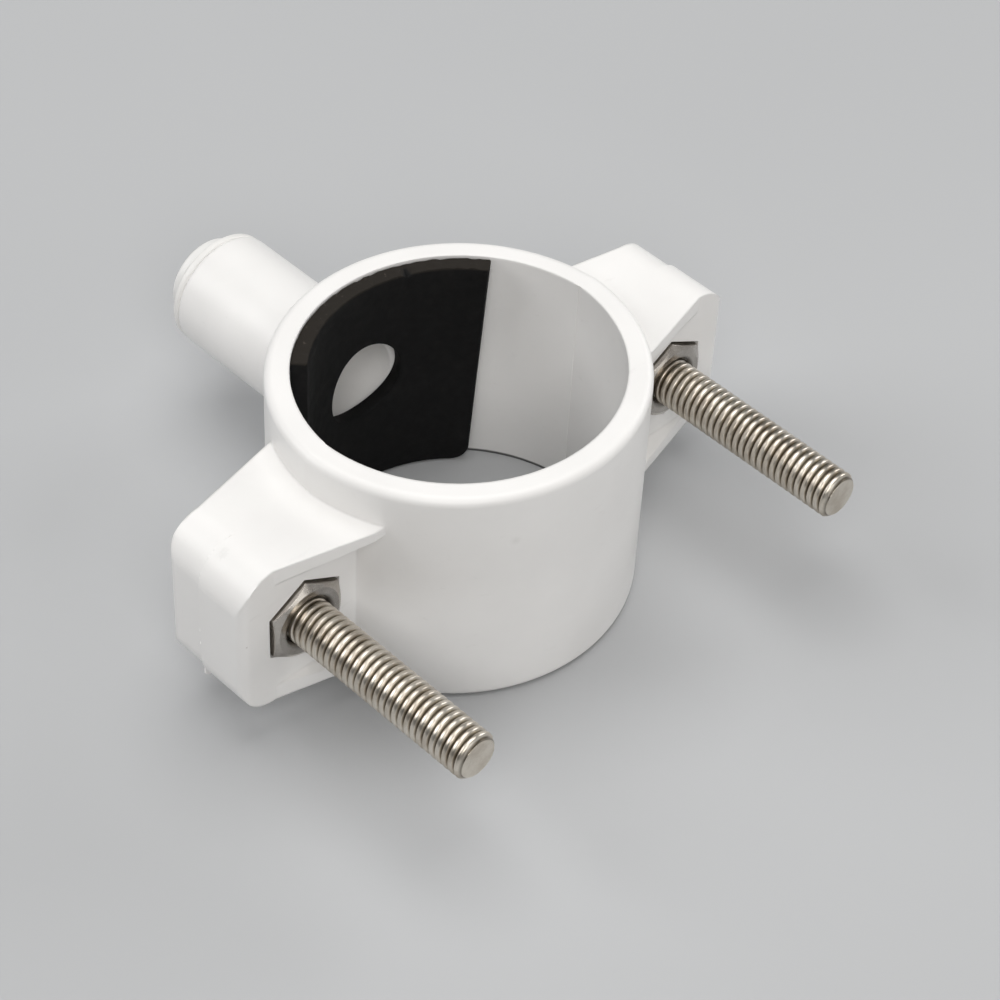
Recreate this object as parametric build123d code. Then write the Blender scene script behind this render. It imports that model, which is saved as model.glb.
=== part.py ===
"""Tapping saddle for a drain pipe: two moulded half shells, drawn together by two
screws with captive nuts, and a push-fit tube port in line with a rubber gasket.

Frame: Z is the pipe's axis and z = 0 the lower end of the ring. Y is the axis of the
port and of the screws: the port half lies at +Y and the clamp half at -Y, and they
meet on the plane y = 0. X runs from ear to ear.
"""
import os
from math import asin, cos, radians, sin

from build123d import *

# Ring
bore_radius = 20.4
port_arc_drop = 1.7         # port half's arc is struck this far beyond the parting plane
clamp_arc_drop = 0.4        # and the clamp half's, so neither is quite a half circle
ring_wall = 3.0
ring_height = 32.5
rim_round = 1.0
axis_rise = 0.35            # how far the port and screws lie above the ring's middle

# Ears
ear_reach = 38.9            # outer face from the pipe's axis
ear_height = 21.2
ear_top_round = 5.0         # upper outer corners, seen along Y
ear_bottom_round = 4.5      # and the lower ones
ear_side_round = 1.2        # standing outer corners, seen along Z
ear_step = 0.4              # how far the clamp half's ears stand proud
port_ear_depth = 5.9        # thickness behind the parting plane
clamp_ear_depth = 7.3       # thickness in front of the parting plane
port_wing_sink = 2.6        # how far the flared wings reach into the ring
clamp_wing_sink = 1.2
wing_margin = 4.8           # straight part of an ear's face beyond its wings
port_wing_overhang = 2.7
clamp_wing_overhang = 3.2
wing_edge = 1.25            # thickness of a wing at its edge
wing_root = 2.3             # and where it meets the ear's face

# Screws and nuts, M6
screw_margin = 8.9          # screws' axes in from the port half's outer faces
thread_radius = 3.0
screw_length = 40.0
screw_hole_clearance = 0.3
head_radius = 6.0
head_height = 4.2
head_crown = 1.4            # rise of the domed part of the head
head_recess_depth = 1.5
head_recess_clearance = 0.5
driver_slot_width = 1.3
driver_slot_length = 6.4
driver_depth = 2.2
tip_chamfer = 0.8
nut_width = 10.0            # across flats
nut_height = 5.0
nut_pocket_clearance = 0.25
nut_recess = 0.35           # nut's outer face below the ear's face
nut_thread_clearance = 0.05
nut_chamfer_angle = 30.0

# Port barrel
port_radius = 7.7
port_end = 42.0             # barrel's end from the pipe's axis
port_end_round = 0.5
drain_radius = 6.3          # chamber behind the gasket's hole
drain_end = 25.0
tube_radius = 3.175         # quarter-inch tube
tube_clearance = 0.075
tube_stop = 27.5
passage_radius = 2.3
seal_seat = 32.0            # ledge that the O-ring lies on
cavity_start = 34.6         # ledge that the grab ring's stack lies on
cavity_radius = 5.7

# Push-fit parts
ring_section = 1.9          # O-ring's thickness
ring_stretch = 0.2          # how much narrower than the tube it is, on radius
seal_clearance = 0.05
spacer_thickness = 1.2
grab_thickness = 0.3
grab_teeth = 12
grab_tooth_depth = 1.1
grab_tooth_gap = 0.5
grab_bite = 0.15            # how far the teeth reach inside the tube's surface
collet_wall = 0.9
collet_clearance = 0.12
collet_travel = 1.0
collet_spare = 0.2          # gap left under the flange when pressed in
flange_radius = 5.6
flange_thickness = 1.4
flange_round = 0.4
collar_radius = 7.6         # rim of the cartridge outside the barrel
collar_thickness = 1.0
collar_round = 0.3
slit_count = 4
slit_width = 0.8
slit_length = 5.0

# Gasket
gasket_thickness = 2.0
gasket_span = 97.0          # degrees round the pipe
gasket_turn = 1.5           # how far it sits round from the port, in degrees
gasket_lean = 3.0           # how far its sides lean off upright, in degrees
gasket_hole_turn = 4.0
gasket_gap = 0.05
gasket_top_gap = 0.2        # pad's ends inside the ring's ends
gasket_bottom_gap = 0.3
gasket_hole_radius = 6.4
gasket_corner_round = 2.2

run_out = 1.0               # how far each cutting shape runs past the face it cuts

# Worked out from the sizes above
outer_radius = bore_radius + ring_wall
axis_height = ring_height / 2 + axis_rise
screw_x = ear_reach - screw_margin
port_arc_y = -port_arc_drop
clamp_arc_y = clamp_arc_drop
ear_bottom = axis_height - ear_height / 2
ear_top = axis_height + ear_height / 2
ear_start = bore_radius - ring_wall
seat_y = port_ear_depth - head_recess_depth
tip_y = seat_y - screw_length
nut_outer_y = -clamp_ear_depth + nut_recess
nut_inner_y = nut_outer_y + nut_height
tube_bore_radius = tube_radius + tube_clearance
collet_radius = tube_bore_radius + collet_wall
seal_seat_radius = tube_radius - ring_stretch + ring_section + seal_clearance
spacer_y = cavity_start
grab_y = spacer_y + spacer_thickness
cartridge_y = grab_y + grab_thickness
collet_end = cartridge_y + collet_travel
collar_end = port_end + collar_thickness
gasket_top = ring_height - gasket_top_gap
gasket_bottom = gasket_bottom_gap


def disc(radius, start, end, x=0.0):
    """A cylinder along Y from y = start to y = end, at the port's height."""
    plane = Plane(origin=(x, start, axis_height), x_dir=(1, 0, 0), z_dir=(0, 1, 0))
    return extrude(plane * Circle(radius), end - start)


def turned_y(profile):
    """Revolves a profile, drawn as radius and distance along Y, about the port's axis."""
    axis = Axis((0, 0, axis_height), (0, 1, 0))
    placed = Plane(origin=(0, 0, axis_height), x_dir=(1, 0, 0), z_dir=(0, 0, 1)) * profile
    return revolve(placed, axis, 360)


def bore(arc_y):
    """What a half's bore takes away, struck from its own centre."""
    inside = Cylinder(bore_radius, ring_height, align=(Align.CENTER, Align.CENTER, Align.MIN))
    return Pos(0, arc_y, 0) * inside


def half_ring(side, arc_y):
    """One half's part of the ring, on the side of the parting plane that the sign names."""
    section = Pos((bore_radius + outer_radius) / 2, ring_height / 2) * Rectangle(ring_wall, ring_height)
    rims = section.vertices().sort_by(Axis.X)[2:]
    ring = revolve(Plane.XZ * fillet(rims, rim_round), Axis.Z, 360)
    reach = 2 * outer_radius
    keep = Pos(0, side * reach / 2, ring_height / 2) * Box(2 * reach, reach, 2 * ring_height)
    return (Pos(0, arc_y, 0) * ring) & keep


def ear_outline(side, reach, depth, overhang, wing_start):
    """The ear seen along Z: a block on the parting plane that flares towards the ring."""
    wing_end = reach - wing_margin
    with BuildSketch() as outline:
        with BuildLine():
            Polyline(
                (ear_start, 0),
                (reach, 0),
                (reach, side * depth),
                (wing_end, side * depth),
                (wing_start, side * (depth + overhang)),
                (ear_start, side * (depth + overhang)),
                close=True,
            )
        make_face()
        corner = outline.vertices().group_by(Axis.X)[-1].sort_by(lambda v: abs(v.Y))[-1]
        fillet(corner, ear_side_round)
    return outline.sketch


def ear(side, reach, depth, overhang, wing_start):
    """One ear at +X: the outline, rounded as seen along Y, with its wings undercut."""
    outline = ear_outline(side, reach, depth, overhang, wing_start)
    block = extrude(Pos(0, 0, ear_bottom) * outline, ear_height)
    full_depth = depth + overhang
    lower_x, lower_z = reach - ear_bottom_round, ear_bottom + ear_bottom_round
    upper_x, upper_z = reach - ear_top_round, ear_top - ear_top_round
    with BuildSketch(Plane.XZ) as front:
        with BuildLine():
            Line((0, ear_bottom), (lower_x, ear_bottom))
            CenterArc((lower_x, lower_z), ear_bottom_round, -90, 90)
            Line((reach, lower_z), (reach, upper_z))
            CenterArc((upper_x, upper_z), ear_top_round, 0, 90)
            Line((upper_x, ear_top), (0, ear_top))
            Line((0, ear_top), (0, ear_bottom))
        make_face()
    block &= extrude(front.sketch, full_depth, both=True)
    root = ear_height / 2 - wing_root
    lip = ear_height / 2 - wing_edge
    with BuildSketch(Plane.YZ) as undercut:
        with BuildLine():
            Polyline(
                (side * depth, axis_height - root),
                (side * full_depth, axis_height - lip),
                (side * (full_depth + run_out), axis_height - lip),
                (side * (full_depth + run_out), axis_height + lip),
                (side * full_depth, axis_height + lip),
                (side * depth, axis_height + root),
                close=True,
            )
        make_face()
    return block - extrude(undercut.sketch, reach)


def both_ears(one):
    """The ear at +X and its mirror image at -X."""
    return one + mirror(one, Plane.YZ)


def at_screws(piece):
    """Copies of a piece that lies at x = 0, one on each screw's axis."""
    return Pos(screw_x, 0, 0) * piece + Pos(-screw_x, 0, 0) * piece


def port_half():
    """The half with the port: shell, ears with screw recesses, and the stepped barrel."""
    shell = half_ring(1, port_arc_y)
    wing_start = outer_radius - port_wing_sink
    shell += both_ears(ear(1, ear_reach, port_ear_depth, port_wing_overhang, wing_start))
    barrel = disc(port_radius, bore_radius + port_arc_y, port_end)
    mouth = barrel.edges().filter_by(GeomType.CIRCLE).sort_by(Axis.Y)[-1]
    shell += fillet(mouth, port_end_round)
    shell -= bore(port_arc_y)
    shell -= disc(drain_radius, 0, drain_end)
    shell -= disc(passage_radius, drain_end - run_out, tube_stop + run_out)
    shell -= disc(tube_bore_radius, tube_stop, seal_seat + run_out)
    shell -= disc(seal_seat_radius, seal_seat, cavity_start + run_out)
    shell -= disc(cavity_radius, cavity_start, port_end + run_out)
    shell -= at_screws(disc(thread_radius + screw_hole_clearance, -run_out, seat_y + run_out))
    recess_end = port_ear_depth + port_wing_overhang + run_out
    recess = disc(head_radius + head_recess_clearance, seat_y, recess_end)
    return shell - at_screws(recess)


def hexagon(width):
    """A hexagon with points up and down, given its width across the flats."""
    return RegularPolygon(width / 2, 6, major_radius=False, rotation=30)


def hex_prism(width, start, end):
    """A hexagonal prism along Y at x = 0 and the screws' height."""
    plane = Plane(origin=(0, start, axis_height), x_dir=(1, 0, 0), z_dir=(0, 1, 0))
    return extrude(plane * hexagon(width), end - start)


def clamp_half():
    """The plain half: shell and ears, with a hexagonal pocket for each nut."""
    shell = half_ring(-1, clamp_arc_y)
    reach = ear_reach + ear_step
    wing_start = outer_radius - clamp_wing_sink
    shell += both_ears(ear(-1, reach, clamp_ear_depth, clamp_wing_overhang, wing_start))
    shell -= bore(clamp_arc_y)
    shell -= at_screws(disc(thread_radius + screw_hole_clearance, -clamp_ear_depth, run_out))
    pocket_width = nut_width + 2 * nut_pocket_clearance
    pocket = hex_prism(pocket_width, -clamp_ear_depth - run_out, nut_inner_y)
    return shell - at_screws(pocket)


def screw():
    """An M6 screw at x = 0 with a domed, cross-slotted head. Its thread is not cut."""
    dome_radius = (head_radius**2 + head_crown**2) / (2 * head_crown)
    dome_angle = asin(head_radius / dome_radius)
    dome_y = seat_y + head_height - dome_radius
    with BuildSketch() as profile:
        with BuildLine():
            Line((0, tip_y), (thread_radius - tip_chamfer, tip_y))
            Line((thread_radius - tip_chamfer, tip_y), (thread_radius, tip_y + tip_chamfer))
            Line((thread_radius, tip_y + tip_chamfer), (thread_radius, seat_y))
            Line((thread_radius, seat_y), (head_radius, seat_y))
            Line((head_radius, seat_y), (head_radius, seat_y + head_height - head_crown))
            ThreePointArc(
                (head_radius, seat_y + head_height - head_crown),
                (dome_radius * sin(dome_angle / 2), dome_y + dome_radius * cos(dome_angle / 2)),
                (0, seat_y + head_height),
            )
            Line((0, seat_y + head_height), (0, tip_y))
        make_face()
    body = turned_y(profile.sketch)
    slot = Box(driver_slot_length, 2 * driver_depth, driver_slot_width)
    slot = Pos(0, seat_y + head_height, axis_height) * slot
    body -= slot
    return body - slot.rotate(Axis((0, 0, axis_height), (0, 1, 0)), 90)


def nut():
    """A hexagonal nut at x = 0, chamfered at both ends. Its thread is not cut."""
    block = hex_prism(nut_width, nut_outer_y, nut_inner_y)
    corner = nut_width / 2 / cos(radians(30))
    rise = (corner - nut_width / 2) * sin(radians(nut_chamfer_angle))
    with BuildSketch() as profile:
        with BuildLine():
            Polyline(
                (0, nut_outer_y),
                (nut_width / 2, nut_outer_y),
                (corner, nut_outer_y + rise),
                (corner, nut_inner_y - rise),
                (nut_width / 2, nut_inner_y),
                (0, nut_inner_y),
                close=True,
            )
        make_face()
    block &= turned_y(profile.sketch)
    return block - disc(thread_radius + nut_thread_clearance, nut_outer_y - run_out, nut_inner_y + run_out)


def gasket():
    """A curved rubber pad lining the port half, with a hole for the drain."""
    height = gasket_top - gasket_bottom
    middle = (gasket_top + gasket_bottom) / 2
    section = Rectangle(gasket_thickness, height)
    section = Pos(bore_radius - gasket_gap - gasket_thickness / 2, middle) * section
    pad = revolve(Plane.XZ * section, Axis.Z, 180)
    for side in (1, -1):
        edge = radians(90 - gasket_turn - side * gasket_span / 2)
        along = (cos(edge), sin(edge), 0)
        tilt = radians(gasket_lean)
        outward = (side * cos(tilt) * along[1], -side * cos(tilt) * along[0], -side * sin(tilt))
        cut = Plane(origin=(0, 0, axis_height), x_dir=along, z_dir=outward)
        pad -= extrude(cut * Rectangle(4 * outer_radius, 4 * outer_radius), outer_radius)
    lower = pad.edges().filter_by(GeomType.LINE).group_by(Axis.Z)[0]
    pad = fillet(lower, gasket_corner_round)
    hole = disc(gasket_hole_radius, 0, outer_radius)
    pad -= hole.rotate(Axis.Z, -gasket_hole_turn)
    return Pos(0, port_arc_y, 0) * pad


def o_ring():
    """The seal round the tube."""
    centre = tube_radius - ring_stretch + ring_section / 2
    ring_y = seal_seat + ring_section / 2 + seal_clearance
    return turned_y(Pos(centre, ring_y) * Circle(ring_section / 2))


def spacer():
    """The plastic ring that keeps the O-ring off the grab ring's teeth."""
    outer = cavity_radius - seal_clearance
    return disc(outer, spacer_y, grab_y) - disc(collet_radius, spacer_y - run_out, grab_y + run_out)


def grab_ring():
    """A thin steel ring whose teeth grip the tube."""
    outer = cavity_radius - seal_clearance
    tip = tube_radius - grab_bite
    plate = disc(outer, grab_y, cartridge_y) - disc(tip, grab_y - run_out, cartridge_y + run_out)
    slot = Box(grab_tooth_depth + run_out, grab_thickness + run_out, grab_tooth_gap)
    middle = (grab_y + cartridge_y) / 2
    slot = Pos(tip + (grab_tooth_depth - run_out) / 2, middle, axis_height) * slot
    axis = Axis((0, 0, axis_height), (0, 1, 0))
    for index in range(grab_teeth):
        plate -= slot.rotate(axis, 360 * index / grab_teeth)
    return plate


def cartridge():
    """The rimmed collar pressed into the barrel's mouth that guides the collet."""
    rim = disc(collar_radius, port_end, collar_end)
    rim = fillet(rim.edges().filter_by(GeomType.CIRCLE), collar_round)
    outer = disc(cavity_radius, cartridge_y, collar_end) + rim
    return outer - disc(collet_radius + collet_clearance, cartridge_y - run_out, collar_end + run_out)


def collet():
    """The slotted sleeve that releases the tube when its flange is pressed in."""
    flange_y = collar_end + collet_travel + collet_spare
    body = disc(collet_radius, collet_end, flange_y + flange_thickness)
    flange = disc(flange_radius, flange_y, flange_y + flange_thickness)
    flange = fillet(flange.edges().filter_by(GeomType.CIRCLE), flange_round)
    body += flange
    body -= disc(tube_bore_radius, collet_end - run_out, flange_y + flange_thickness + run_out)
    slit = Box(2 * collet_radius + run_out, slit_length + run_out, slit_width)
    slit = Pos(0, collet_end + (slit_length - run_out) / 2, axis_height) * slit
    axis = Axis((0, 0, axis_height), (0, 1, 0))
    for index in range(slit_count // 2):
        body -= slit.rotate(axis, 180 * index / (slit_count // 2))
    return body


def main():
    os.makedirs("parts", exist_ok=True)
    pieces = {
        "port_half": port_half(),
        "clamp_half": clamp_half(),
        "gasket": gasket(),
        "o_ring": o_ring(),
        "spacer": spacer(),
        "grab_ring": grab_ring(),
        "cartridge": cartridge(),
        "collet": collet(),
        "screw_left": Pos(-screw_x, 0, 0) * screw(),
        "screw_right": Pos(screw_x, 0, 0) * screw(),
        "nut_left": Pos(-screw_x, 0, 0) * nut(),
        "nut_right": Pos(screw_x, 0, 0) * nut(),
    }
    for name, shape in pieces.items():
        export_step(shape, f"parts/{name}.step")


main()
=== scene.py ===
"""Dresses the tapping saddle in a plain studio.

The shells and the port's inner parts keep their solids and get finishes. The gasket, the nuts and
the screws are drawn anew with what the solids leave out: eased edges, a cut hole and threads.
"""
from math import cos, pi, radians, sin, tan

import bmesh
import bpy
from mathutils import Matrix, Vector, noise


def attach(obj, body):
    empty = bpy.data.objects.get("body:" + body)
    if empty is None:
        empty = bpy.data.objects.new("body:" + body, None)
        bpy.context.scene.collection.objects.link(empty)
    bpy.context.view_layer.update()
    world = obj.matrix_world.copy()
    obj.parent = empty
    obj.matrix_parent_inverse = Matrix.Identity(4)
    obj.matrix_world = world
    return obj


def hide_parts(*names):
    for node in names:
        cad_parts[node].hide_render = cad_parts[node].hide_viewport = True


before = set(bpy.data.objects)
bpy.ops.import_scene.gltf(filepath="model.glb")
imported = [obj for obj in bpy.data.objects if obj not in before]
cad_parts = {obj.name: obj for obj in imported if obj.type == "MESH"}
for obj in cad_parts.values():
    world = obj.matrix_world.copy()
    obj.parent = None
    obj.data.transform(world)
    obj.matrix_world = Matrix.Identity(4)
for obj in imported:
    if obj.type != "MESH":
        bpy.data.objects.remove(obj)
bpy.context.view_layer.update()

MM = 0.001

# Sizes of the solids, in metres. The parting plane is y = 0 and the ring's axis is z.
axis_height = 16.6 * MM
screw_x = 30.0 * MM
thread_radius = 3.0 * MM
seat_y = 4.4 * MM
tip_y = -35.6 * MM
head_radius = 6.0 * MM
head_height = 4.2 * MM
head_crown = 1.4 * MM
driver_slot = Vector((6.4, 2.2, 1.3)) * MM
bore_radius = 20.4 * MM
port_arc_y = -1.7 * MM
clamp_ear_depth = 7.3 * MM
nut_height = 5.0 * MM
gasket_gap = 0.05 * MM
gasket_thickness = 2.0 * MM
gasket_span = 97.0
gasket_turn = 1.5
gasket_lean = 3.0
gasket_top = 32.3 * MM
gasket_bottom = 0.3 * MM
gasket_corner_round = 2.2 * MM
ear_reach = 38.9 * MM
ear_top = 27.2 * MM
ear_bottom = 6.0 * MM
ear_top_round = 5.0 * MM
ear_bottom_round = 4.5 * MM
wing_edge = 1.25 * MM

# What only this script draws, or draws otherwise than the solids
thread_depth = 0.6 * MM
thread_pitch = 1.0 * MM
tip_chamfer = 0.55 * MM
head_edge = 0.3 * MM
nut_width = 9.85 * MM
nut_proud = 0.85 * MM
nut_chamfer_angle = 30.0
nut_countersink = 0.5 * MM
nut_clearance = 0.05 * MM
gasket_hole_turn = 2.0
gasket_hole_radius = 5.5 * MM
gasket_hole_height = 17.4 * MM
gasket_eased = 0.22 * MM
gasket_notch = 5.6 * MM
gasket_notch_depth = 0.4 * MM
gasket_rag = 0.3 * MM
fin_width = 0.28 * MM
fin_least = 0.15 * MM
fin_most = 0.38 * MM
fin_rag = 0.45 * MM
nib_angle = -36.0
nib_length = 0.9 * MM
front_mark = Vector((-10.2, -20.7, 25.5)) * MM

# Colours that more than one place uses
# painted shade: dark brown for the roots of the screws' threads and the nuts' countersunk mouths,
# where shade falls
painted_recess_shade = (0.07, 0.058, 0.042, 1)
warm_light = (1.0, 0.985, 0.965)
white_light = (1.0, 1.0, 1.0)


class Wire:
    """A socket's value. Arithmetic on it adds Math nodes to its material."""

    def __init__(self, finish, socket):
        self.finish = finish
        self.socket = socket

    def math(self, operation, first, second):
        return self.finish.node("ShaderNodeMath", {"operation": operation}, {0: first, 1: second})

    def __add__(self, other):
        return self.math("ADD", self, other)

    def __radd__(self, other):
        return self.math("ADD", other, self)

    def __sub__(self, other):
        return self.math("SUBTRACT", self, other)

    def __rsub__(self, other):
        return self.math("SUBTRACT", other, self)

    def __mul__(self, other):
        return self.math("MULTIPLY", self, other)

    def __rmul__(self, other):
        return self.math("MULTIPLY", other, self)

    def __truediv__(self, other):
        return self.math("DIVIDE", self, other)

    def at_least(self, other):
        return self.math("MAXIMUM", self, other)

    def band(self, centre, inside, outside):
        """1 within that distance of a value, falling to 0 at the other distance."""
        away = self - centre
        return (away * away).ramp(inside**2, outside**2, 1, 0)

    def ramp(self, start, end, low=0.0, high=1.0):
        """Smoothly from low to high as the value goes from start to end."""
        settings = {"interpolation_type": "SMOOTHSTEP"}
        values = {"Value": self, "From Min": start, "From Max": end, "To Min": low, "To Max": high}
        return self.finish.node("ShaderNodeMapRange", settings, values)


class Finish:
    """A procedural material with one Principled shader."""

    def __init__(self, name, **constants):
        self.material = bpy.data.materials.new(name)
        self.material.use_nodes = True
        self.tree = self.material.node_tree
        self.shader = self.tree.nodes["Principled BSDF"]
        for key, value in constants.items():
            self.shader.inputs[key.replace("_", " ")].default_value = value
        self.place = self.node("ShaderNodeTexCoord", {}, {}, "Object")

    def node(self, kind, settings, values, out=0):
        """Adds a node, sets it up, feeds its sockets and returns one of its outputs."""
        made = self.tree.nodes.new(kind)
        for key, value in settings.items():
            setattr(made, key, value)
        for key, value in values.items():
            if isinstance(value, Wire):
                self.tree.links.new(value.socket, made.inputs[key])
            else:
                made.inputs[key].default_value = value
        return Wire(self, made.outputs[out])

    def noise(self, size, detail=3.0, rough=0.5, place=None):
        """Cloudy noise whose blobs are about that size."""
        values = {"Vector": place or self.place, "Scale": 1 / size, "Detail": detail,
                  "Roughness": rough}
        return self.node("ShaderNodeTexNoise", {}, values)

    def along(self, letter):
        """One of the object's coordinates: X, Y or Z."""
        return self.node("ShaderNodeSeparateXYZ", {}, {0: self.place}, letter)

    def distance(self, place, point):
        """How far a place is from a point."""
        settings = {"operation": "DISTANCE"}
        return self.node("ShaderNodeVectorMath", settings, {0: place, 1: point}, "Value")

    def stretched(self, *sizes):
        """The object's coordinates, squeezed along each axis."""
        return self.node("ShaderNodeMapping", {}, {"Vector": self.place, "Scale": sizes})

    def mix(self, share, first, second):
        """One colour into another by a share from 0 to 1."""
        values = {0: share, 6: first, 7: second}
        return self.node("ShaderNodeMix", {"data_type": "RGBA"}, values, 2)

    def near(self, point, radius):
        """1 at a point of the object, falling to 0 at that distance."""
        return self.distance(self.place, point).ramp(0, radius, 1, 0)

    def soft_edges(self, radius, crisp=None):
        """Normals that round the edges off, but not where crisp is 1."""
        soft = self.node("ShaderNodeBevel", {"samples": 6}, {"Radius": radius})
        if not crisp:
            return soft
        plain = self.node("ShaderNodeNewGeometry", {}, {}, "Normal")
        return self.node("ShaderNodeMix", {"data_type": "VECTOR"}, {0: crisp, 4: soft, 5: plain}, 1)

    def near_screws(self, inside, outside):
        """1 within a radius of either screw's axis, falling to 0 at the other."""
        across = self.node("ShaderNodeVectorMath", {"operation": "ABSOLUTE"}, {0: self.place})
        settings = {"operation": "MULTIPLY"}
        flat = self.node("ShaderNodeVectorMath", settings, {0: across, 1: (1, 0, 1)})
        axis = (screw_x, 0, axis_height)
        return self.distance(flat, axis).ramp(inside, outside, 1, 0)

    def bump(self, height, distance, strength=1.0, edges=None):
        """A Bump node over the height, in metres at height 1, on top of softened edges."""
        values = {"Height": height, "Distance": distance, "Strength": strength}
        if edges:
            values["Normal"] = edges
        return self.node("ShaderNodeBump", {}, values)

    def feed(self, **links):
        for key, wire in links.items():
            self.tree.links.new(wire.socket, self.shader.inputs[key.replace("_", " ")])
        return self.material


def moulded_white(name, tint, edge, parted=False):
    """Moulded plastic with a faint orange peel, clouding, scuffs and a few specks.

    On the two shells, which are parted, edges stay crisp at the parting plane, in the nut pockets
    and under the wings' rounded edge. They also get the mark on the front and a painted contact
    shadow: a black band along the foot, where it meets the floor.
    """
    f = Finish(name, Specular_IOR_Level=0.45)
    cloud = f.noise(14 * MM, 4).ramp(0.3, 0.7)
    scuff = f.noise(2.2 * MM, 5, 0.7, f.stretched(0.35, 1.0, 1.6)).ramp(0.62, 0.74)
    cells = {"Vector": f.place, "Scale": 1 / (3.5 * MM)}
    dots = f.node("ShaderNodeTexVoronoi", {}, cells)
    cell_colour = f.node("ShaderNodeTexVoronoi", {}, cells, "Color")
    chance = f.node("ShaderNodeSeparateColor", {}, {0: cell_colour})
    speck = dots.ramp(0.025, 0.045, 1, 0) * chance.ramp(0.985, 0.988)
    clouded = tuple(0.955 * c for c in tint)
    scuff_grey = (0.52, 0.51, 0.49, 1)
    speck_brown = (0.3, 0.27, 0.22, 1)
    colour = f.mix(cloud, tint + (1,), clouded + (1,))
    colour = f.mix(scuff * 0.12, colour, scuff_grey)
    colour = f.mix(speck * 0.3, colour, speck_brown)
    rough = 0.34 + f.noise(3 * MM, 4) * 0.1 + scuff * 0.14
    relief = f.noise(0.5 * MM, 2) * 0.35 + f.noise(4 * MM, 2) * 0.65
    crisp = None
    if parted:
        seam = f.along("Y").band(0, 0.1 * MM, 0.8 * MM)
        pocket = f.near_screws(6.6 * MM, 7.4 * MM)
        wing = f.along("Z").band(ear_top - wing_edge, 0.3 * MM, 0.7 * MM)
        crisp = seam.at_least(pocket).at_least(wing)
        mark = f.near(front_mark, 0.9 * MM)
        mark_grey = (0.66, 0.645, 0.63, 1)
        # painted contact shadow: the lowest 0.5 mm of the shells turns black, standing in for the
        # shade where the foot meets the floor
        foot = f.along("Z").ramp(0.25 * MM, 0.5 * MM, 1, 0)
        contact_shadow_black = (0.03, 0.03, 0.03, 1)
        colour = f.mix(mark * 0.25, colour, mark_grey)
        colour = f.mix(foot * 0.9, colour, contact_shadow_black)
        relief = relief - mark * 1.5
    normal = f.bump(relief, 0.03 * MM, 0.6, f.soft_edges(edge, crisp))
    return f.feed(Base_Color=colour, Roughness=rough, Normal=normal)


def black_rubber(name, edge_height=None):
    """Matt black rubber, dusty in patches, paler and crumbly above its cut top edge's height."""
    f = Finish(name, Specular_IOR_Level=0.2)
    black = (0.005, 0.005, 0.0052, 1)
    dusty = (0.014, 0.013, 0.012, 1)
    dust = f.noise(3 * MM, 6, 0.7).ramp(0.5, 0.8)
    grain = f.noise(0.35 * MM, 4, 0.65)
    colour = f.mix(dust * 0.5, black, dusty)
    if edge_height:
        cut_brown = (0.022, 0.018, 0.014, 1)
        crumb_grey = (0.12, 0.1, 0.085, 1)
        cut = f.along("Z").ramp(edge_height - 0.45 * MM, edge_height - 0.15 * MM)
        crumbs = f.noise(0.7 * MM, 5, 0.7).ramp(0.6, 0.72)
        colour = f.mix(cut * 0.8, colour, cut_brown)
        colour = f.mix(cut * crumbs * 0.5, colour, crumb_grey)
    rough = 0.62 + f.noise(1.2 * MM, 3) * 0.25
    relief = grain * 0.6 + f.noise(1.6 * MM, 3) * 0.4
    return f.feed(Base_Color=colour, Roughness=rough, Normal=f.bump(relief, 0.06 * MM, 0.8))


def plated_steel(name, bright, dull, rough, worn=1.0, thread=None):
    """Plated steel with dull patches, fine turning marks and small stains.

    A screw's shank has painted shade in the roots of its thread and is browner underneath, a
    painted shade for the dark floor it reflects. A nut's thread has painted shade round its mouth,
    and the nut's edges are eased.
    """
    f = Finish(name, Metallic=1.0)
    patch = f.noise(2.5 * MM, 5, 0.6).ramp(0.35, 0.7)
    turned = f.noise(0.25 * MM, 3, 0.6, f.stretched(0.3, 2.5, 0.3))
    stain = f.noise(1.1 * MM, 4, 0.65).ramp(0.6, 0.72)
    stain_brown = (0.16, 0.13, 0.1, 1)
    colour = f.mix(patch, bright + (1,), dull + (1,))
    colour = f.mix(stain * (0.35 * worn), colour, stain_brown)
    sheen = rough + (turned * 0.12 + stain * 0.15) * worn
    edges = None
    if thread == "nut":
        edges = f.soft_edges(0.14 * MM)
        # painted shade: the countersunk mouth, 3.3 to 3.9 mm from the screw's axis, darkens round
        # the screw
        colour = f.mix(f.near_screws(3.3 * MM, 3.9 * MM) * 0.8, colour, painted_recess_shade)
    if thread == "shank":
        underside_shade_brown = (0.3, 0.25, 0.18, 1)
        y = f.along("Y")
        beyond_tip = y.ramp(tip_y + 0.02 * MM, tip_y + 0.1 * MM)
        below_head = y.ramp(seat_y - 0.3 * MM, seat_y - 0.1 * MM, 1, 0)
        shank = beyond_tip * below_head
        # painted shade: below the axis the shank turns browner, standing in for the dark floor its
        # underside reflects
        underside_shade = f.along("Z").ramp(axis_height - 1.6 * MM, axis_height - 0.4 * MM, 1, 0)
        # painted shade: the thread's roots and lower flanks darken towards dark brown
        root = f.near_screws(thread_radius - 0.5 * MM, thread_radius - 0.18 * MM)
        colour = f.mix(shank * underside_shade * 0.5, colour, underside_shade_brown)
        colour = f.mix(shank * root * 0.65, colour, painted_recess_shade)
    normal = f.bump(turned, 0.006 * MM * worn, 0.5, edges)
    return f.feed(Base_Color=colour, Roughness=sheen, Normal=normal)


def new_piece(name, mesh_source, material, body, *stands_for):
    """Makes an object of a bmesh, with its place in its mesh, and hangs it on a body."""
    mesh = bpy.data.meshes.new(name)
    mesh_source.to_mesh(mesh)
    mesh_source.free()
    piece = bpy.data.objects.new(name, mesh)
    bpy.context.scene.collection.objects.link(piece)
    mesh.materials.append(material)
    if body:
        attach(piece, body)
    if stands_for:
        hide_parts(*stands_for)
    return piece


def verts_of(result):
    """The vertices among what a bmesh operator made."""
    return [v for v in result["geom"] if isinstance(v, bmesh.types.BMVert)]


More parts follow.
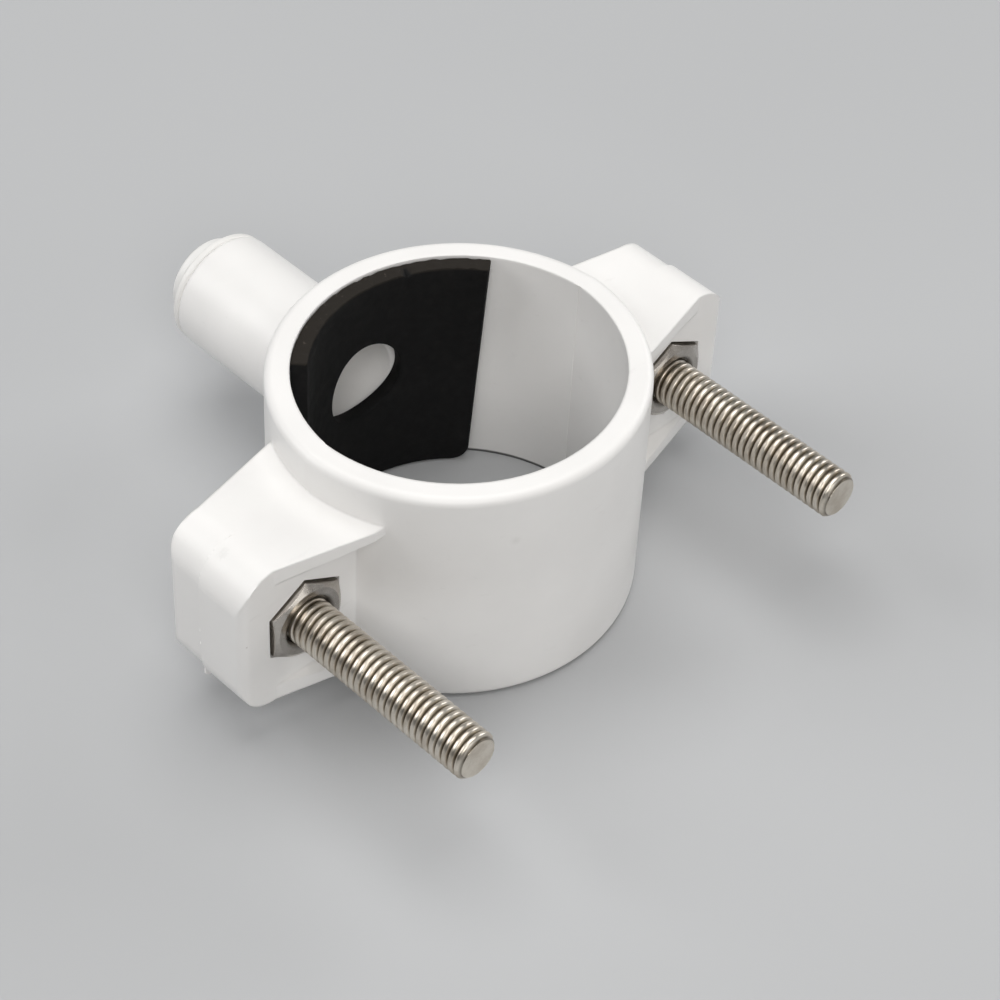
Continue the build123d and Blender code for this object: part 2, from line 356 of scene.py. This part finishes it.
def cut_with(solid, cutter, operation="DIFFERENCE"):
    """The solid less the cutter, or what they share, both given as bmeshes and both used up."""
    objects = []
    for source in (solid, cutter):
        mesh = bpy.data.meshes.new("blank")
        source.to_mesh(mesh)
        source.free()
        objects.append(bpy.data.objects.new("blank", mesh))
        bpy.context.scene.collection.objects.link(objects[-1])
    body, tool = objects
    trim = body.modifiers.new("cut", "BOOLEAN")
    trim.operation = operation
    trim.solver = "EXACT"
    trim.object = tool
    result = bmesh.new()
    result.from_object(body, bpy.context.evaluated_depsgraph_get())
    for blank in objects:
        bpy.data.meshes.remove(blank.data)
    return result


def turned(profile, steps):
    """Spins a chain of (radius, y) points about the Y axis into a closed shell."""
    bm = bmesh.new()
    verts = [bm.verts.new((r, y, 0)) for r, y in profile]
    for a, b in zip(verts, verts[1:]):
        bm.edges.new((a, b))
    bmesh.ops.spin(bm, geom=bm.verts[:] + bm.edges[:], cent=(0, 0, 0), axis=(0, 1, 0),
                   dvec=(0, 0, 0), angle=2 * pi, steps=steps, use_merge=True, use_duplicate=False)
    bmesh.ops.remove_doubles(bm, verts=bm.verts[:], dist=0.001 * MM)
    bmesh.ops.recalc_face_normals(bm, faces=bm.faces[:])
    return bm


def split(bm, point, normal, reach=0.002 * MM, clear=False):
    """Cuts a mesh along a plane, and drops what lies beyond it where that is asked for."""
    everything = bm.verts[:] + bm.edges[:] + bm.faces[:]
    return bmesh.ops.bisect_plane(bm, geom=everything, dist=reach, plane_co=point, plane_no=normal,
                                  clear_outer=clear)


def cap(bm, y, outward):
    """Cuts a mesh at y and closes it there with a flat face."""
    cut = split(bm, (0, y, 0), (0, outward, 0), 0.001 * MM, True)
    rim = [e for e in cut["geom_cut"] if isinstance(e, bmesh.types.BMEdge)]
    bmesh.ops.holes_fill(bm, edges=rim, sides=0)


def threaded_shank():
    """A single-start right-hand thread from inside the head to the chamfered tip.

    The chain is one pitch of its outline: shares of the pitch along and of the depth outward, from
    root over a broad crest to root.
    """
    root = thread_radius - thread_depth
    half = [(0, 0), (0.06, 0.1), (0.14, 0.5), (0.21, 0.88), (0.28, 0.98), (0.38, 1)]
    chain = half + [(0.5, 1)] + [(1 - along, rise) for along, rise in reversed(half)]
    around = 44
    spare_turns = 3
    turns = int((seat_y - tip_y) / thread_pitch) + spare_turns
    bm = bmesh.new()
    start = tip_y - 1.5 * thread_pitch
    verts = [bm.verts.new((root + rise * thread_depth, start + along * thread_pitch, 0))
             for along, rise in chain]
    for a, b in zip(verts, verts[1:]):
        bm.edges.new((a, b))
    bmesh.ops.spin(bm, geom=bm.verts[:] + bm.edges[:], cent=(0, 0, 0), axis=(0, 1, 0),
                   dvec=(0, thread_pitch / around, 0), angle=2 * pi, steps=around,
                   use_merge=False, use_duplicate=False)
    turn = bm.verts[:] + bm.edges[:] + bm.faces[:]
    for index in range(1, turns):
        copy = bmesh.ops.duplicate(bm, geom=turn)
        bmesh.ops.translate(bm, verts=verts_of(copy), vec=(0, index * thread_pitch, 0))
    bmesh.ops.remove_doubles(bm, verts=bm.verts[:], dist=0.002 * MM)
    least = 0.5 * MM
    for v in bm.verts:
        limit = max(thread_radius - tip_chamfer + v.co.y - tip_y, least)
        reach = Vector((v.co.x, 0, v.co.z)).length
        if reach > limit:
            v.co.x *= limit / reach
            v.co.z *= limit / reach
    cap(bm, tip_y, -1)
    inside_head = 0.2 * MM
    cap(bm, seat_y + inside_head, 1)
    bmesh.ops.recalc_face_normals(bm, faces=bm.faces[:])
    return bm


def screw_head():
    """A domed head with a cross recess."""
    crown = (head_radius**2 + head_crown**2) / (2 * head_crown)
    top = seat_y + head_height
    profile = [(0, seat_y), (head_radius - head_edge, seat_y), (head_radius, seat_y + head_edge),
               (head_radius, top - head_crown - 0.1 * MM)]
    crown_steps = 8
    for step in range(1, crown_steps + 1):
        r = head_radius * (1 - step / crown_steps)
        profile.append((r, top - crown + (crown**2 - r**2) ** 0.5))
    head = turned(profile, 72)
    for turn in (0, 90):
        slot = bmesh.new()
        size = Matrix.Diagonal((driver_slot.x, 2 * driver_slot.y, driver_slot.z, 1))
        place = Matrix.Translation((0, top, 0)) @ Matrix.Rotation(radians(turn), 4, "Y")
        bmesh.ops.create_cube(slot, size=1, matrix=place @ size)
        head = cut_with(head, slot)
    return head


def screw_blank():
    """The whole screw, on the Y axis."""
    bm = threaded_shank()
    head = screw_head()
    spare = bpy.data.meshes.new("spare")
    head.to_mesh(spare)
    head.free()
    bm.from_mesh(spare)
    bpy.data.meshes.remove(spare)
    shade(bm, 38)
    return bm


def screw(name, x, blank, material, body, node):
    """A copy of the blank in place."""
    bm = blank.copy()
    bmesh.ops.translate(bm, verts=bm.verts[:], vec=(x, 0, axis_height))
    return new_piece(name, bm, material, body, node)


def nut(name, x, material, node):
    """A hexagonal nut that stands a little proud, with turned corners and a countersunk hole."""
    outer_y = -clamp_ear_depth - nut_proud
    inner_y = outer_y + nut_height
    flat = nut_width / 2
    corner = flat / cos(pi / 6)
    face_share = 0.92
    face = face_share * flat
    rise = (corner - face) * tan(radians(nut_chamfer_angle))
    bm = bmesh.new()
    upright = Matrix.Rotation(pi / 2, 4, "X") @ Matrix.Rotation(pi / 6, 4, "Z")
    place = Matrix.Translation((0, outer_y, 0)) @ upright
    bmesh.ops.create_circle(bm, cap_ends=True, segments=6, radius=corner, matrix=place)
    sides = bmesh.ops.extrude_face_region(bm, geom=bm.faces[:])
    bmesh.ops.translate(bm, verts=verts_of(sides), vec=(0, nut_height, 0))
    bmesh.ops.rotate(bm, verts=bm.verts[:], cent=(0, 0, 0),
                     matrix=Matrix.Rotation(pi / 6, 3, "Y"))
    bmesh.ops.recalc_face_normals(bm, faces=bm.faces[:])
    blank = [(0, outer_y), (face, outer_y), (corner, outer_y + rise), (corner, inner_y - rise),
             (face, inner_y), (0, inner_y)]
    bm = cut_with(bm, turned(blank, 96), "INTERSECT")
    bore = thread_radius + nut_clearance
    wide = bore + nut_countersink
    wider = wide + nut_countersink
    slope = 0.7 * nut_countersink
    hole = [(0, outer_y - slope), (wider, outer_y - slope), (wide, outer_y),
            (bore, outer_y + slope), (bore, inner_y - slope), (wide, inner_y),
            (wider, inner_y + slope), (0, inner_y + slope)]
    bm = cut_with(bm, turned(hole, 48))
    bmesh.ops.translate(bm, verts=bm.verts[:], vec=(x, 0, axis_height))
    shade(bm, 20)
    return new_piece(name, bm, material, "clamp", node)


def shade(bm, crease):
    """Smooth shading, with edges kept sharp where faces turn by more than crease degrees."""
    for face in bm.faces:
        face.smooth = True
    for edge in bm.edges:
        edge.smooth = len(edge.link_faces) == 2 and edge.calc_face_angle(0) < radians(crease)


def ear_outline(reach, steps=14):
    """Points and outward directions down the left ear's outer edge, as seen along Y."""
    rounds = ((ear_top - ear_top_round, ear_top_round, 90, 0),
              (ear_bottom + ear_bottom_round, ear_bottom_round, 0, -80))
    for z, size, start, end in rounds:
        for step in range(steps + 1):
            angle = radians(start + (end - start) * step / steps)
            out = Vector((-cos(angle), 0, sin(angle)))
            yield Vector((-(reach - size), 0, z)) + out * size, out


def flash(material):
    """A ragged fin of flash down the left ear, beside the parting plane, with a nib at its foot.

    It starts a little inside the ear, rises less where it faces up, and follows smooth noise.
    """
    sunk = 0.1 * MM
    spacing = 0.3 * MM
    path = list(ear_outline(ear_reach))
    fine = [path[0]]
    for (here, out), (there, turned_out) in zip(path, path[1:]):
        pieces = max(1, round((there - here).length / spacing))
        fine += [(here.lerp(there, k / pieces), out.lerp(turned_out, k / pieces))
                 for k in range(1, pieces + 1)]
    bm = bmesh.new()
    foot = [bm.verts.new(point - out * sunk) for point, out in fine]
    for a, b in zip(foot, foot[1:]):
        bm.edges.new((a, b))
    bmesh.ops.extrude_edge_only(bm, edges=bm.edges[:])
    bm.verts.ensure_lookup_table()
    for vert, (point, out) in zip(bm.verts[len(fine):], fine):
        rag = noise.noise(point * 900) + 0.5 * noise.noise(point * 2600)
        fin = min(fin_most, fin_least + max(0, rag) * fin_rag) * (1 - 0.8 * max(0, out.z))
        nib = max(0, 1 - abs(out.z - sin(radians(nib_angle))) / 0.25) * nib_length
        vert.co = point + out * max(fin, nib)
    sides = bmesh.ops.extrude_face_region(bm, geom=bm.faces[:])
    bmesh.ops.translate(bm, verts=verts_of(sides), vec=(0, fin_width, 0))
    bmesh.ops.recalc_face_normals(bm, faces=bm.faces[:])
    return new_piece("flash_left", bm, material, "port")


def ease(bm, edges, size, segments):
    """Rounds edges off."""
    bmesh.ops.bevel(bm, geom=edges, offset=size, offset_type="OFFSET", segments=segments,
                    profile=0.5, affect="EDGES", clamp_overlap=True, material=-1)


def gasket(material):
    """The pad: cut flat, edges eased, top edge roughened, then wrapped round the bore."""
    columns, rows = 72, 12
    face_radius = bore_radius - gasket_gap - gasket_thickness
    width = face_radius * radians(gasket_span)
    height = gasket_top - gasket_bottom
    bm = bmesh.new()
    middle = (gasket_top + gasket_bottom) / 2
    size = Matrix.Diagonal((width, gasket_thickness, height, 1))
    bmesh.ops.create_cube(bm, size=1, matrix=Matrix.Translation((0, 0, middle)) @ size)
    lower = [e for e in bm.edges
             if all(v.co.z < middle for v in e.verts)
             and abs(e.verts[0].co.y - e.verts[1].co.y) > MM]
    ease(bm, lower, gasket_corner_round, 8)
    punch = bmesh.new()
    shift = face_radius * radians(gasket_hole_turn - gasket_turn)
    place = Matrix.Translation((shift, 0, gasket_hole_height)) @ Matrix.Rotation(pi / 2, 4, "X")
    bmesh.ops.create_cone(punch, cap_ends=True, segments=72, radius1=gasket_hole_radius,
                          radius2=gasket_hole_radius, depth=3 * gasket_thickness, matrix=place)
    bm = cut_with(bm, punch)
    bmesh.ops.dissolve_limit(bm, angle_limit=radians(1), verts=bm.verts[:], edges=bm.edges[:])
    sharp = [e for e in bm.edges
             if len(e.link_faces) == 2 and e.calc_face_angle(0) > radians(40)]
    ease(bm, sharp, gasket_eased, 2)
    for index in range(1, columns):
        split(bm, (width * (index / columns - 0.5), 0, 0), (1, 0, 0))
    for index in range(1, rows):
        split(bm, (0, 0, gasket_bottom + height * index / rows), (0, 0, 1))
    for v in bm.verts:
        along, depth, up = v.co
        near_top = max(0, 1 - (gasket_top - up) / (0.8 * MM))
        rag = noise.noise(Vector((along * 1100, depth * 500, 3)))
        near_notch = max(0, 1 - abs(along - gasket_notch) / (0.6 * MM))
        notch = near_notch * (gasket_notch_depth - 0.3 * depth)
        up -= near_top * (max(0, rag + 0.15) * gasket_rag + notch)
        turn = radians(90 - gasket_turn) - along / face_radius
        turn += (axis_height - up) * sin(radians(gasket_lean)) / face_radius
        reach = face_radius + gasket_thickness / 2 + depth
        v.co = (reach * cos(turn), port_arc_y + reach * sin(turn), up)
    bmesh.ops.recalc_face_normals(bm, faces=bm.faces[:])
    shade(bm, 35)
    return new_piece("rubber_pad", bm, material, "port", "gasket")


def dress(node, material):
    """Gives a CAD node its finish."""
    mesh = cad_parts[node].data
    mesh.materials.clear()
    mesh.materials.append(material)


def lay_floor():
    """A wide sheet of pale grey paper, a little clouded."""
    half_width = 1.5
    pale = (0.507, 0.515, 0.525, 1)
    grey = (0.493, 0.501, 0.511, 1)
    f = Finish("floor_paper", Specular_IOR_Level=0.1)
    tone = f.noise(120 * MM, 2).ramp(0.3, 0.7)
    colour = f.mix(tone, grey, pale)
    fine = f.noise(0.8 * MM, 3)
    f.feed(Base_Color=colour, Roughness=0.8 + fine * 0.1, Normal=f.bump(fine, 0.01 * MM, 0.3))
    bm = bmesh.new()
    bmesh.ops.create_grid(bm, x_segments=1, y_segments=1, size=half_width)
    floor = new_piece("floor", bm, f.material, None)


def hang_lamps():
    """A faint room light and soft round lamps that all face the saddle.

    Each lamp has a place, a size, a power in watts and a colour.
    """
    world = bpy.data.worlds.new("room")
    bpy.context.scene.world = world
    world.use_nodes = True
    room = world.node_tree.nodes["Background"]
    room.inputs["Color"].default_value = warm_light + (1,)
    room.inputs["Strength"].default_value = 0.02
    lamps = {
        "overhead": ((0.05, 0.12, 0.75), 0.7, 3.25, (1.0, 0.995, 0.985)),
        "camera_side": ((-0.4, -0.45, 0.6), 0.5, 2.8, warm_light),
        "back_left": ((-0.5, 0.5, 0.5), 0.5, 2.4, white_light),
        "right": ((0.75, 0.0, 0.35), 0.5, 2.15, white_light),
        "front_right": ((0.55, -0.6, 0.3), 0.6, 0.5, warm_light),
        "front_low": ((0.1, -0.8, 0.2), 0.5, 0.9, warm_light),
    }
    for name, (place, size, power, colour) in lamps.items():
        lamp = bpy.data.lights.new(name, "AREA")
        lamp.shape = "DISK"
        lamp.size = size
        lamp.energy = power
        lamp.color = colour
        holder = bpy.data.objects.new(name, lamp)
        holder.location = place
        holder.rotation_euler = Vector(place).to_track_quat("Z", "Y").to_euler()
        bpy.context.scene.collection.objects.link(holder)


def set_camera():
    """A long lens that looks down at the saddle from its front left."""
    azimuth, elevation, roll = radians(-46.56), radians(44.83), radians(3.18)
    aim = Vector((7.9, -0.8, 5.2)) * MM
    distance = 353.9 * MM
    back = Vector((sin(azimuth) * cos(elevation), -cos(azimuth) * cos(elevation), sin(elevation)))
    lens = bpy.data.cameras.new("camera")
    lens.lens = 102.7
    lens.sensor_width = 36.0
    lens.clip_start = 0.01
    camera = bpy.data.objects.new("camera", lens)
    turn = back.to_track_quat("Z", "Y").to_matrix() @ Matrix.Rotation(roll, 3, "Z")
    camera.matrix_world = Matrix.Translation(aim + back * distance) @ turn.to_4x4()
    bpy.context.scene.collection.objects.link(camera)
    bpy.context.scene.camera = camera
    bpy.context.scene.view_settings.view_transform = "Standard"


def main():
    """The solids' finishes, the pieces drawn anew, and the studio."""
    shell = moulded_white("shell_plastic", (0.91, 0.9, 0.886), 0.5 * MM, True)
    inner = moulded_white("inner_plastic", (0.88, 0.87, 0.85), 0.1 * MM)
    release = moulded_white("collet_plastic", (0.86, 0.855, 0.84), 0.15 * MM)
    seal = black_rubber("seal_rubber")
    pad = black_rubber("gasket_rubber", gasket_top)
    steel = plated_steel("screw_steel", (0.74, 0.69, 0.61), (0.56, 0.5, 0.42), 0.31, 0.25,
                         "shank")
    nuts = plated_steel("nut_steel", (0.54, 0.51, 0.47), (0.38, 0.35, 0.32), 0.18, 1.0,
                        "nut")
    spring = plated_steel("spring_steel", (0.6, 0.6, 0.6), (0.45, 0.45, 0.45), 0.22)
    finishes = {
        "port_half": shell, "clamp_half": shell, "o_ring": seal, "spacer": inner,
        "grab_ring": spring, "cartridge": inner, "collet": release,
    }
    for node, material in finishes.items():
        dress(node, material)
    gasket(pad)
    nut("nut_near", -screw_x, nuts, "nut_left")
    nut("nut_far", screw_x, nuts, "nut_right")
    blank = screw_blank()
    screw("screw_near", -screw_x, blank, steel, "left_screw", "screw_left")
    screw("screw_far", screw_x, blank, steel, "right_screw", "screw_right")
    blank.free()
    flash(shell)
    lay_floor()
    hang_lamps()
    set_camera()


main()
